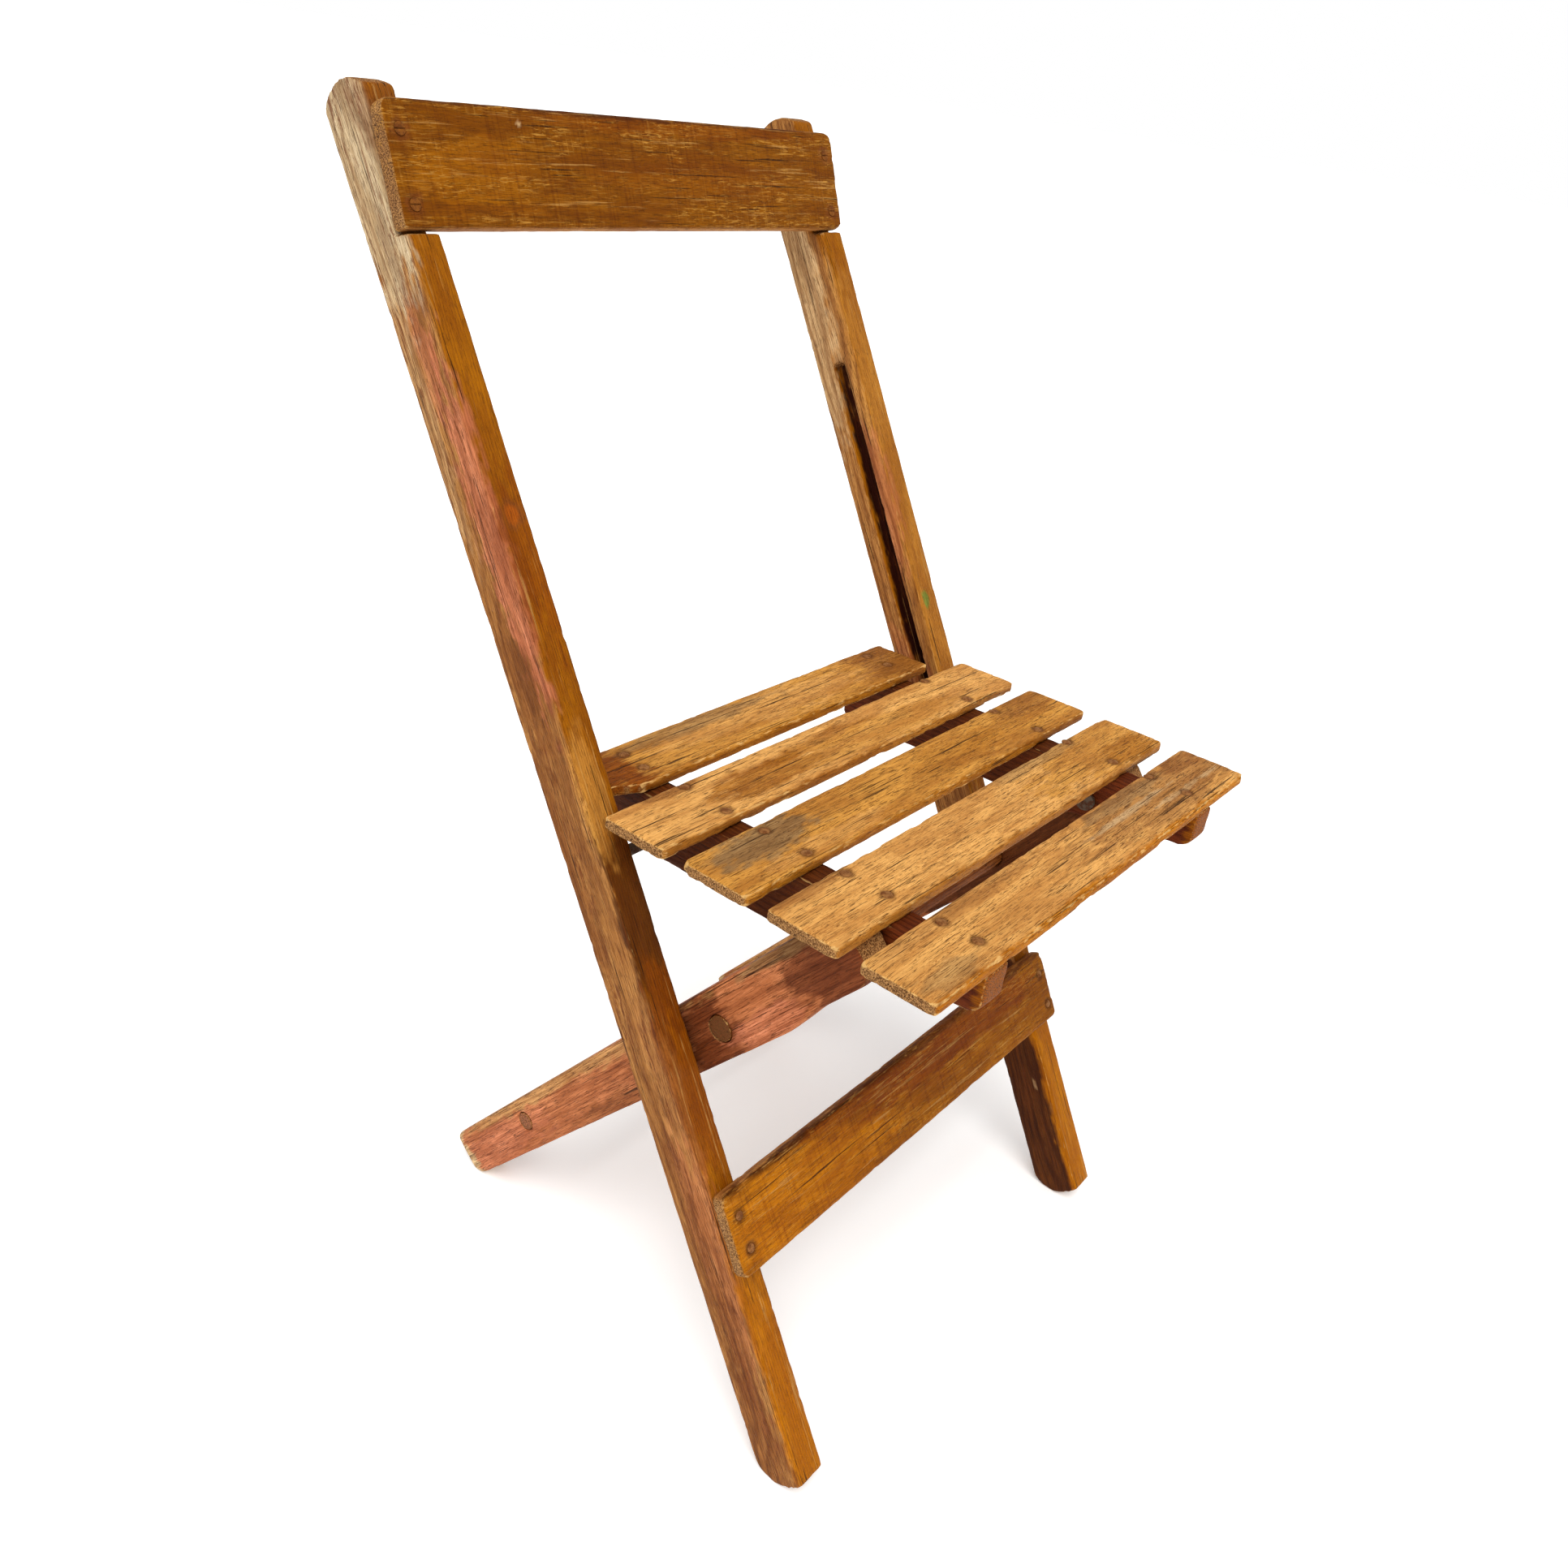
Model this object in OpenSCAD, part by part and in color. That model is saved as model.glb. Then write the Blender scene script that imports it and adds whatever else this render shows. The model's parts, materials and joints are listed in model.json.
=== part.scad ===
// Wooden folding chair: two leaning stiles with a backrest board and a front
// stretcher, a pair of crossing rear legs, and a slatted seat that hinges on
// the rear legs and slides up grooves in the stiles as the chair folds.
// X runs across the chair, -Y is the front, Z is up. Millimetres.

/* [Chair] */
// Outer width across the stiles
chair_w = 420; // [400:1:440]
// Rise of the seat towards its front edge, degrees
seat_tilt = 1.735; // [1.6:0.005:1.9]
// Lean of the stiles, measured from square to the seat, degrees
lean = 28.93; // [28.7:0.01:29.2]
// Clear space between a stile and a rear leg
leg_gap = 4.5; // [3:0.1:8]

/* [Stiles] */
// Thickness of a stile across the chair
stile_t = 25.3; // [22:0.1:30]
// Depth of a stile from front face to back face
stile_w = 42.5; // [40:0.1:46]
// Centre of the round top end, along the stile
stile_top_s = 922; // [915:0.5:935]
// Groove width in the inner face
groove_w = 10.9; // [10.9:0.1:12]
// Groove depth
groove_d = 10; // [7:0.1:14]
// Upper end of the groove, along the stile
groove_top = 753.5; // [700:0.5:800]

/* [Backrest board] */
// Height of the board
board_h = 72.7; // [66:0.1:74]
// Thickness of the board
board_t = 12.8; // [11:0.1:16]
// Forward tilt of the board from the stiles, degrees
board_tilt = 9.97; // [8:0.01:12]

/* [Front stretcher] */
// Height of the stretcher up the stiles
stretcher_h = 61.7; // [45:0.1:75]
// Thickness of the stretcher
stretcher_t = 11.3; // [8:0.1:16]

/* [Seat] */
// Length of the four front slats
slat_l = 414; // [400:1:418]
// Length of the rear slat, between the stiles
rear_slat_l = 356; // [330:1:360]
// Thickness of a slat
slat_t = 8.7; // [7:0.1:9]
// Thickness of a bearer under the slats
bearer_t = 25; // [20:0.1:26]
// Depth of a bearer at its rear
bearer_h = 44.2; // [42:0.1:48]

/* [Rear legs] */
// Thickness of a rear leg across the chair
leg_t = 25; // [20:0.1:26]
// Upper cross dowel
upper_dowel_d = 20; // [16:0.5:22]
// Lower cross dowel
lower_dowel_d = 16; // [12:0.5:20]

/* [Fixings] */
// Pivot and slide pins
pin_d = 8; // [7:0.1:8]
// Running clearance on the pin radius
run_clear = 0.05; // [0.02:0.01:0.09]

/* [Hidden] */
$fn = 64;

// Layers across the chair, from the outside in
bearer_gap = 1.2;
xo = chair_w / 2;
xi = xo - stile_t;
leg_xo = xi - leg_gap;
leg_xi = leg_xo - leg_t;
bear_xo = leg_xi - bearer_gap;
bear_xi = bear_xo - bearer_t;

// Stile frame: y runs from the front face to the back face, z up the stile.
// The foot rounds at the back with foot_r and at the toe with toe_r.
foot_r = 21.3;
foot_s = 14.2;
foot_o = 21.7;
toe_r = 44;
top_r = 28;
top_o = 21.5;
function sy(s, o) = s * sin(lean) + o * cos(lean);
function sz(s, o) = s * cos(lean) - o * sin(lean);

// Pivots in the stile frame: crossing pin, seat hinge, slide pin
P = [312.8, 20.5];
Q = [377.9, -142.8];
T = [455.5, 20.5];
Py = sy(P[0], P[1]);
Pz = sz(P[0], P[1]);
Qy = sy(Q[0], Q[1]);
Qz = sz(Q[0], Q[1]);
Ty = sy(T[0], T[1]);
Tz = sz(T[0], T[1]);
groove_o = 19.6;
groove_end_clear = 0.4;
groove_bot = T[0] - pin_d / 2 - groove_end_clear;

// Lower back edge of the board, and lower edge of the stretcher, in the stile frame
board_at = [0, 11.32, 857.65];
shoulder = 1.5; // open gap under the board
stretcher_s = 161.3;
stretcher_top = stretcher_s + stretcher_h;

// Rear leg frame: z runs up the leg from the crossing pin, y towards its back.
// The seat hinge sits at [Qv, Qu]. The leg narrows at its head by a relief on its lower face.
leg_lean = 40.39;
Qu = 175.77;
Qv = 3.23;
leg_foot = -353;
leg_low = -12.1;
leg_top = 28.4;
leg_outline_points = [[leg_low, leg_foot], [leg_top, leg_foot], [28.3, 150], [26.2, Qu + 1],
  [-17.1, Qu + 1], [-17, 143], [-21.4, 107]];
leg_head_r = 23.3;
upper_dowel_at = [0, 1.1, 49.2];
lower_dowel_at = [0, 9.4, -234.3];
blind = 2.2; // wood left over the blind end of the hinge bore

// Seat, level in the construction frame
seat_top = 432.6;
seat_under = seat_top - slat_t;
slats = [[242.2, 295.7], [175.0, 229.0], [107.5, 160.5], [39.5, 93.2], [-27.7, 25.3]];
bear_front = -27.2;
bear_back = 290;
bearer_nose_h = 26.8; // height of a bearer at its front end
bearer_heel_y = 98; // where its sloping lower edge meets the level one
rear_slat_break = [[-190, 236], [-157, 236], [-159.5, 244.6], [-165, 246.2], [-169, 250.5],
  [-174.5, 252], [-190, 254]];

// Fixings: each nail's shank length and head radius
slat_nail = [28, 4];
stretcher_nail = [34, 3.4];
nail_sink = 0.3; // slat nail heads below the seat's surface
pin_cover = 10; // wood left over the crossing pin's end
hinge_head_d = 15;
crossing_head_d = 16;
washer_d = 22;
slat_nail_at = [[-138, 281.5], [-140, 260], [148, 285.5], [148, 264],
  [-138, 223.5], [-140, 184], [146, 224.5], [145, 182.5],
  [-140, 151.5], [-139.5, 116.8], [143, 156], [143, 115.3],
  [-139.7, 86], [-139, 55], [142, 89.5], [141, 49.3],
  [-138, 16.4], [-137.5, -9], [141, 20], [140, -10.5]];
stretcher_nail_at = [[-197.7, 179.2], [-198.8, 204.2], [198.8, 204.6], [200.1, 175.5]];
board_screw_at = [[-199.5, 13.7], [-199.5, 55], [199.5, 13.7], [199.5, 55]];

// Resting plane: the feet are worn flat by foot_wear
foot_wear = 0.5;
lift = foot_r - foot_wear - (sz(foot_s, foot_o) * cos(seat_tilt) - sy(foot_s, foot_o) * sin(seat_tilt));
back_s = stile_top_s + sqrt(top_r * top_r - (stile_w - top_o) * (stile_w - top_o));
y_front = (slats[4][0] + 1) * cos(seat_tilt) + (seat_under + 1) * sin(seat_tilt) - 1;
y_back = sy(back_s, stile_w) * cos(seat_tilt) + sz(back_s, stile_w) * sin(seat_tilt);
y_mid = (y_front + y_back) / 2;

module place() {
  translate([0, -y_mid, lift]) rotate([-seat_tilt, 0, 0]) children();
}
module in_stile() {
  rotate([-lean, 0, 0]) children();
}
module in_leg() {
  translate([0, Py, Pz]) rotate([leg_lean, 0, 0]) children();
}
module in_board() {
  in_stile() translate(board_at) rotate([board_tilt, 0, 0]) children();
}
// A side-view outline (y, z) carried across the chair from x0 to x1
module across(x0, x1) {
  translate([x0, 0, 0]) rotate([90, 0, 90]) linear_extrude(height = x1 - x0) children();
}
module floor_cut() {
  difference() {
    place() children();
    translate([-300, -400, -40]) cube([600, 800, 40]);
  }
}
// What a corner of radius r takes away; sx and sy point out of the corner
module corner_cut(x, y, r, sx, sy) {
  translate([x, y]) mirror([sx > 0 ? 1 : 0, 0]) mirror([0, sy > 0 ? 1 : 0]) difference() {
    translate([-3, -3]) square([r + 3, r + 3]);
    translate([r, r]) circle(r = r);
  }
}
// Rectangle with its own radius at each corner: low-low, high-low, high-high, low-high
module rrect(x0, y0, x1, y1, r) {
  difference() {
    translate([x0, y0]) square([x1 - x0, y1 - y0]);
    if (r[0] > 0) corner_cut(x0, y0, r[0], -1, -1);
    if (r[1] > 0) corner_cut(x1, y0, r[1], 1, -1);
    if (r[2] > 0) corner_cut(x1, y1, r[2], 1, 1);
    if (r[3] > 0) corner_cut(x0, y1, r[3], -1, 1);
  }
}
module bore_x(x0, x1, d) {
  translate([x0, 0, 0]) rotate([0, 90, 0]) cylinder(d = d, h = x1 - x0);
}

// ---- frame: stiles, board, stretcher ----
module stile_outline() {
  difference() {
    intersection() {
      translate([0, -8]) square([stile_w, stile_top_s + 48]);
      union() {
        translate([-1, -9]) square([stile_w + 2, stile_top_s + 10]);
        translate([top_o, stile_top_s]) circle(r = top_r);
      }
    }
    difference() {
      translate([foot_o, -10]) square([25, foot_s + 10]);
      translate([foot_o, foot_s]) circle(r = foot_r);
    }
    difference() {
      translate([-2, -10]) square([foot_o + 2.3, foot_s + 10]);
      translate([foot_o, foot_s - foot_r + toe_r]) circle(r = toe_r);
    }
  }
}
module stile(side) {
  color([0.72, 0.47, 0.22]) floor_cut() difference() {
    in_stile() intersection() {
      across(side > 0 ? xi : -xo, side > 0 ? xo : -xi) stile_outline();
      translate([0, 0, -20]) linear_extrude(height = stile_top_s + 80)
        rrect(side > 0 ? xi : -xo, 0, side > 0 ? xo : -xi, stile_w, [1.5, 1.5, 1.5, 1.5]);
    }
    // board seat, with the open shoulder below the board
    in_board() translate([-xo - 5, -board_t - 12, -shoulder]) cube([chair_w + 10, board_t + 12, 90]);
    // slide groove
    in_stile() translate([side > 0 ? xi - 2 : -xi - groove_d, groove_o - groove_w / 2, groove_bot])
      cube([groove_d + 2, groove_w, groove_top - groove_bot]);
    // crossing pin
    in_leg() bore_x(side > 0 ? xi - 3 : -xo + pin_cover, side > 0 ? xo - pin_cover : -xi + 3, pin_d);
    in_board() for (p = board_screw_at) if (p[0] * side > 0) translate([p[0], 0, p[1]]) screw();
    in_stile() for (p = stretcher_nail_at) if (p[0] * side > 0) driven_in_stretcher(p);
  }
}
module left_stile() stile(-1);
module right_stile() stile(1);

module backrest_board() {
  color([0.74, 0.47, 0.13]) place() in_board() difference() {
    intersection() {
      across(-xo, xo) rrect(-board_t, 0, 0, board_h, [1.5, 1, 2, 3]);
      translate([0, 5, 0]) rotate([90, 0, 0]) linear_extrude(height = board_t + 10)
        rrect(-xo, 0, xo, board_h, [2, 2, 8, 8]);
    }
    for (p = board_screw_at) translate([p[0], 0, p[1]]) screw();
  }
}
module front_stretcher() {
  color([0.73, 0.46, 0.12]) place() in_stile() difference() {
    intersection() {
      across(-xo, xo) rrect(-stretcher_t, stretcher_s, 0, stretcher_top, [2.5, 0, 0, 2.5]);
      translate([0, 5, 0]) rotate([90, 0, 0]) linear_extrude(height = stretcher_t + 10)
        rrect(-xo, stretcher_s, xo, stretcher_top, [5, 5, 6, 6]);
    }
    for (p = stretcher_nail_at) driven_in_stretcher(p);
  }
}

// Round-headed nail: the top of its head is at z = 0 and its shank runs up z.
// Its size is [length, head radius].
module nail(size) {
  union() {
    cylinder(r = size[1], h = 1.3);
    translate([0, 0, 0.6]) cylinder(r = 1.5, h = size[0] - 0.6);
  }
}
module driven_in_stretcher(p) {
  translate([p[0], -stretcher_t, p[1]]) rotate([-90, 0, 0]) nail(stretcher_nail);
}
module driven_in_slat(p) {
  translate([p[0], p[1], seat_top - nail_sink]) rotate([180, 0, 0]) nail(slat_nail);
}
// Countersunk board screw with its head at the front face of the board
module screw() {
  translate([0, -board_t, 0]) rotate([-90, 0, 0]) rotate_extrude()
    polygon([[0, 0], [3.8, 0], [3.8, 0.6], [2, 2.6], [2, 30], [0, 32]]);
}
module backrest_screws() {
  color([0.25, 0.18, 0.13]) place() in_board() for (p = board_screw_at) difference() {
    translate([p[0], 0, p[1]]) screw();
    // driver slot
    translate([p[0] - 5, -board_t - 1, p[1] - 0.5]) cube([10, 1.7, 1]);
  }
}
module stretcher_nails() {
  color([0.3, 0.2, 0.13]) place() in_stile() for (p = stretcher_nail_at) driven_in_stretcher(p);
}
module crossing_pin(side) {
  color([0.5, 0.48, 0.45]) place() in_leg() mirror([side > 0 ? 0 : 1, 0, 0]) union() {
    bore_x(leg_xi - 1, xo - pin_cover, pin_d);
    bore_x(leg_xi - 3, leg_xi - 0.35, crossing_head_d);
  }
}
module left_crossing_pin() crossing_pin(-1);
module right_crossing_pin() crossing_pin(1);
module crossing_washer(side) {
  color([0.55, 0.52, 0.48]) place() in_leg() mirror([side > 0 ? 0 : 1, 0, 0]) difference() {
    bore_x(leg_xo + 0.3, xi, washer_d);
    bore_x(leg_xo - 1, xi + 1, pin_d);
  }
}
module left_crossing_washer() crossing_washer(-1);
module right_crossing_washer() crossing_washer(1);

// ---- rear legs ----
module leg_outline() {
  difference() {
    union() {
      polygon(leg_outline_points);
      intersection() {
        translate([Qv, Qu]) circle(r = leg_head_r);
        translate([-17.1, Qu - 4]) square([60, 40]);
      }
    }
    corner_cut(leg_low, leg_foot, 11, -1, -1);
    corner_cut(leg_top, leg_foot, 4, 1, -1);
  }
}
module rear_leg(side) {
  color([0.68, 0.42, 0.27]) floor_cut() in_leg() mirror([side > 0 ? 0 : 1, 0, 0]) difference() {
    across(leg_xi, leg_xo) leg_outline();
    bore_x(leg_xi - 2, leg_xo + 2, pin_d + 2 * run_clear);
    translate([0, Qv, Qu]) bore_x(leg_xi - 2, leg_xo - blind, pin_d);
    translate(upper_dowel_at) bore_x(leg_xi - 2, leg_xo + 2, upper_dowel_d);
    translate(lower_dowel_at) bore_x(leg_xi - 2, leg_xo + 2, lower_dowel_d);
  }
}
module left_rear_leg() rear_leg(-1);
module right_rear_leg() rear_leg(1);
module upper_leg_dowel() {
  color([0.5, 0.3, 0.17]) place() in_leg() translate(upper_dowel_at)
    bore_x(-leg_xo, leg_xo, upper_dowel_d);
}
module lower_leg_dowel() {
  color([0.5, 0.3, 0.17]) place() in_leg() translate(lower_dowel_at)
    bore_x(-leg_xo, leg_xo, lower_dowel_d);
}
module seat_hinge_pin(side) {
  color([0.5, 0.48, 0.45]) place() translate([0, Qy, Qz]) mirror([side > 0 ? 0 : 1, 0, 0]) union() {
    bore_x(bear_xi - 1, leg_xo - blind, pin_d);
    bore_x(bear_xi - 3, bear_xi - 0.3, hinge_head_d);
  }
}
module left_seat_hinge_pin() seat_hinge_pin(-1);
module right_seat_hinge_pin() seat_hinge_pin(1);

// ---- seat ----
module bearer_outline() {
  difference() {
    polygon([[bear_front, seat_under - bearer_nose_h], [bear_front + 0.3, seat_under],
      [bear_back, seat_under], [bear_back, seat_under - bearer_h],
      [bearer_heel_y, seat_under - bearer_h]]);
    corner_cut(bear_front, seat_under - bearer_nose_h - 0.4, 8, -1, -1);
    corner_cut(bear_back, seat_under - bearer_h, 10, 1, -1);
  }
}
module seat_bearer(side) {
  color([0.6, 0.38, 0.2]) place() difference() {
    across(side > 0 ? bear_xi : -bear_xo, side > 0 ? bear_xo : -bear_xi) bearer_outline();
    translate([0, Qy, Qz]) bore_x(side > 0 ? bear_xi - 2 : -bear_xo - 2,
      side > 0 ? bear_xo + 2 : -bear_xi + 2, pin_d + 2 * run_clear);
    translate([0, Ty, Tz]) bore_x(side > 0 ? bear_xi + 2 : -bear_xo - 2,
      side > 0 ? bear_xo + 2 : -bear_xi - 2, pin_d);
    for (p = slat_nail_at) if (p[0] * side > 0) driven_in_slat(p);
  }
}
module left_seat_bearer() seat_bearer(-1);
module right_seat_bearer() seat_bearer(1);
module slat(i, l) {
  color([0.8, 0.58, 0.32]) place() difference() {
    intersection() {
      across(-l / 2, l / 2) rrect(slats[i][0], seat_under, slats[i][1], seat_top, [1, 1, 2.4, 2.4]);
      translate([0, 0, seat_under - 1]) linear_extrude(height = slat_t + 2)
        rrect(-l / 2, slats[i][0], l / 2, slats[i][1], [4, 4, 4, 4]);
    }
    for (p = slat_nail_at) if (p[1] > slats[i][0] && p[1] < slats[i][1]) {
      driven_in_slat(p);
      translate([p[0], p[1], seat_top - 0.8]) cylinder(r = slat_nail[1], h = 2.5);
    }
  }
}
// The rear slat has a broken left front corner
module seat_slat_1() {
  difference() {
    slat(0, rear_slat_l);
    place() translate([0, 0, seat_under - 2]) linear_extrude(height = slat_t + 4)
      polygon(rear_slat_break);
  }
}
module seat_slat_2() slat(1, slat_l);
module seat_slat_3() slat(2, slat_l);
module seat_slat_4() slat(3, slat_l);
module seat_slat_5() slat(4, slat_l);
module slat_nails() {
  color([0.36, 0.22, 0.14]) place() for (p = slat_nail_at) driven_in_slat(p);
}
module slide_pin(side) {
  color([0.5, 0.48, 0.45]) place() translate([0, Ty, Tz]) mirror([side > 0 ? 0 : 1, 0, 0])
    bore_x(bear_xi + 2, xi + groove_d - 0.8, pin_d);
}
module left_slide_pin() slide_pin(-1);
module right_slide_pin() slide_pin(1);

left_stile();
right_stile();
backrest_board();
front_stretcher();
backrest_screws();
stretcher_nails();
left_crossing_pin();
right_crossing_pin();
left_crossing_washer();
right_crossing_washer();
left_rear_leg();
right_rear_leg();
upper_leg_dowel();
lower_leg_dowel();
left_seat_hinge_pin();
right_seat_hinge_pin();
left_seat_bearer();
right_seat_bearer();
seat_slat_1();
seat_slat_2();
seat_slat_3();
seat_slat_4();
seat_slat_5();
slat_nails();
left_slide_pin();
right_slide_pin();
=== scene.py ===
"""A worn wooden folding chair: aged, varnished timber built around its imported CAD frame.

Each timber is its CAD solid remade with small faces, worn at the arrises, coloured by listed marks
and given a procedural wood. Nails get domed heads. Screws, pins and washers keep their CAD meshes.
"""
import json
import math
from itertools import product

import bmesh
import bpy
import numpy as np
from mathutils import Matrix, Vector


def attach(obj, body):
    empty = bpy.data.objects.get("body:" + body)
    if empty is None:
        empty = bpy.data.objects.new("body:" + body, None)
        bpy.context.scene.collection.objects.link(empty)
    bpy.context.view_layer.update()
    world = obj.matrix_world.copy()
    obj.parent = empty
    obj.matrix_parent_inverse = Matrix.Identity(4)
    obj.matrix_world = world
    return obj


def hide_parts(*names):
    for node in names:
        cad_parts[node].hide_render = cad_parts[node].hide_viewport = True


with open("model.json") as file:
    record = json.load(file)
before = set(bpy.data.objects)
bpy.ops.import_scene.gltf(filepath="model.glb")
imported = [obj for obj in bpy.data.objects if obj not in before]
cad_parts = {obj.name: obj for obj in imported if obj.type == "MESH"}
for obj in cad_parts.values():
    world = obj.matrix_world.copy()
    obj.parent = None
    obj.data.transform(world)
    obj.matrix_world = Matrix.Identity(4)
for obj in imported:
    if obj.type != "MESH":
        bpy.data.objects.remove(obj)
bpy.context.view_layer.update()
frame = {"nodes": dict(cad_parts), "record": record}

MM = 0.001
WELD = 1e-6    # metres within which mesh points are one

BODY_OF = {node: body for body, nodes in frame["record"]["behaviour"]["bodies"].items() for node in nodes}
SLOT_OF = {part["node"]: part["material_slot"] for part in frame["record"]["subparts"]}


# ---- numbers and noise ----

def linear(red, green, blue):
    """A display colour from 0 to 255 as linear light from 0 to 1."""
    levels = [level / 255 for level in (red, green, blue)]
    return tuple(level / 12.92 if level <= 10 / 255 else ((level + 0.055) / 1.055) ** 2.4 for level in levels)


def opaque(red, green, blue):
    """The same with an alpha of 1, as shader sockets take it."""
    return (*linear(red, green, blue), 1.0)


def smoothstep(low, high, values):
    """From 0 at low to 1 at high with level ends; low may be the greater."""
    t = np.clip((values - low) / (high - low), 0, 1)
    return t * t * (3 - 2 * t)


HASH_FACTORS = (374761393, 668265263, 2147483647)
HASH_MIXER = 1274126177
WORD = 0xFFFFFFFF
HALF_WORD = 0xFFFF


def cell_values(cells, seed):
    """A fixed number from 0 to 1 for each lattice cell, which looks random."""
    mixed = (cells @ np.array(HASH_FACTORS) + seed * HASH_MIXER) & WORD
    mixed = ((mixed ^ (mixed >> 13)) * HASH_MIXER) & WORD
    return ((mixed ^ (mixed >> 16)) & HALF_WORD) / HALF_WORD


def lattice(points, per_metre, seed):
    """Smooth noise from 0 to 1 with that many cells per metre along each axis."""
    place = points * np.asarray(per_metre, float) + seed * 7.31
    cell = np.floor(place).astype(np.int64)
    part = place - cell
    part = part * part * (3 - 2 * part)
    total = np.zeros(len(points))
    for corner in product((0, 1), repeat=3):
        weight = np.where(corner, part, 1 - part).prod(axis=1)
        total += cell_values(cell + corner, seed) * weight
    return total


def layered(points, per_metre, seed, layers=3):
    """Several octaves of lattice noise, still from 0 to 1."""
    scale = np.asarray(per_metre, float)
    parts = [lattice(points, scale * 2 ** i, seed + 11 * i) * 0.5 ** i for i in range(layers)]
    return sum(parts) / sum(0.5 ** i for i in range(layers))


# ---- meshes ----

def show(name, mesh):
    """A new object of the scene."""
    piece = bpy.data.objects.new(name, mesh)
    bpy.context.scene.collection.objects.link(piece)
    return piece


def take_place(piece, node):
    """Show the piece instead of its CAD node, on the node's body."""
    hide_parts(node)
    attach(piece, BODY_OF[node])


def welded(mesh):
    """The mesh for editing, with points at the same place joined."""
    shape = bmesh.new()
    shape.from_mesh(mesh)
    bmesh.ops.remove_doubles(shape, verts=shape.verts, dist=WELD)
    return shape


def shade_smooth(mesh):
    for polygon in mesh.polygons:
        polygon.use_smooth = True


def read(collection, prop, width):
    """One property of all a mesh's parts, as rows of that many numbers."""
    values = np.zeros(len(collection) * width, dtype=np.int32 if prop == "vertices" else np.float32)
    collection.foreach_get(prop, values)
    return values.reshape(-1, width)


def store(mesh, name, values):
    """A number or vector per point that the materials can read."""
    is_vector = values.ndim == 2
    layer = mesh.attributes.new(name, "FLOAT_VECTOR" if is_vector else "FLOAT", "POINT")
    layer.data.foreach_set("vector" if is_vector else "value", values.astype(np.float32).ravel())


def smoothed(points, links, rounds):
    """Points drawn towards their neighbours, which rounds every arris."""
    count = len(points)
    first, second = links.T
    degree = np.bincount(links.ravel(), minlength=count)[:, None]
    for _ in range(rounds):
        sums = [np.bincount(first, points[second, axis], count)
                + np.bincount(second, points[first, axis], count) for axis in range(3)]
        points = 0.5 * points + 0.5 * np.stack(sums, axis=1) / degree
    return points


def separate_shapes(shape):
    """The points of each loose part of an editable mesh."""
    left = set(shape.verts)
    while left:
        part = []
        queue = [left.pop()]
        while queue:
            vertex = queue.pop()
            part.append(vertex.co)
            linked = {edge.other_vert(vertex) for edge in vertex.link_edges} & left
            left -= linked
            queue.extend(linked)
        yield part


def nail_heads(node, out):
    """The middle of the top of each nail's head, for nails in one CAD node that face out."""
    source = frame["nodes"][node]
    nails = welded(source.data)
    tops = []
    for part in separate_shapes(nails):
        nail = np.array([source.matrix_world @ point for point in part])
        heights = nail @ np.array(out)
        tops.append(nail[heights > heights.max() - 0.1 * MM].mean(axis=0))
    nails.free()
    return sorted(tops, key=lambda top: tuple(np.round(top, 5)))


# ---- worn timber ----
#
# Each timber has its own axes: along its grain, across it and through it, from its lowest corner. The
# noise counts cells per metre on those axes. A mark is a colour, its place and its size in millimetres
# on the same axes, and its strength from 0 to 1.

GRID = 1.5 * MM            # size of a worn timber's faces
SOFT_ROUNDS = 4            # smoothing that rounds a sound arris
BROKEN_ROUNDS = 26         # further smoothing where an arris has broken away
ROUNDING = 0.8             # share of the soft rounding that a sound arris gets
ARRIS_PULL = 0.42 * GRID   # how far soft rounding draws in a square arris
NEAR_ROUNDS = 6            # how far an arris counts as near, in rounds of smoothing
NEAR_GAIN = 2.2            # strengthens the nearness that smoothing has thinned
DENT = 0.22 * MM           # depths of the broad dents, the fine ones and those near an arris
FINE_DENT = 0.12 * MM
ARRIS_DENT = 0.35 * MM
STAIN_REACH = 7.5 * MM     # how far rust creeps from the middle of a nail
STAIN_FULL = 3.5 * MM      # how far from it the rust is at its strongest
STAIN_RAGGED = 2.5 * MM    # how uneven the rust's edge is
STAIN_STRENGTH = 0.75


def patch(places, centre, size):
    """How strongly each point lies in a soft spot, given in millimetres along, across and through."""
    away = (places - np.array(centre) * MM) / (np.array(size) * MM)
    return np.exp(-(away ** 2).sum(axis=1))


def fine_copy(node, axes):
    """The CAD node's mesh in its timber's own axes, remade with small even faces."""
    source = frame["nodes"][node]
    mesh = source.data.copy()
    mesh.transform(axes @ source.matrix_world)
    shape = welded(mesh)
    shape.to_mesh(mesh)
    shape.free()
    draft = show(node + "_draft", mesh)
    remesh = draft.modifiers.new("fine", "REMESH")
    remesh.mode = "VOXEL"
    remesh.voxel_size = GRID
    fine = bpy.data.meshes.new_from_object(draft.evaluated_get(bpy.context.evaluated_depsgraph_get()))
    bpy.data.objects.remove(draft)
    return fine


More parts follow.
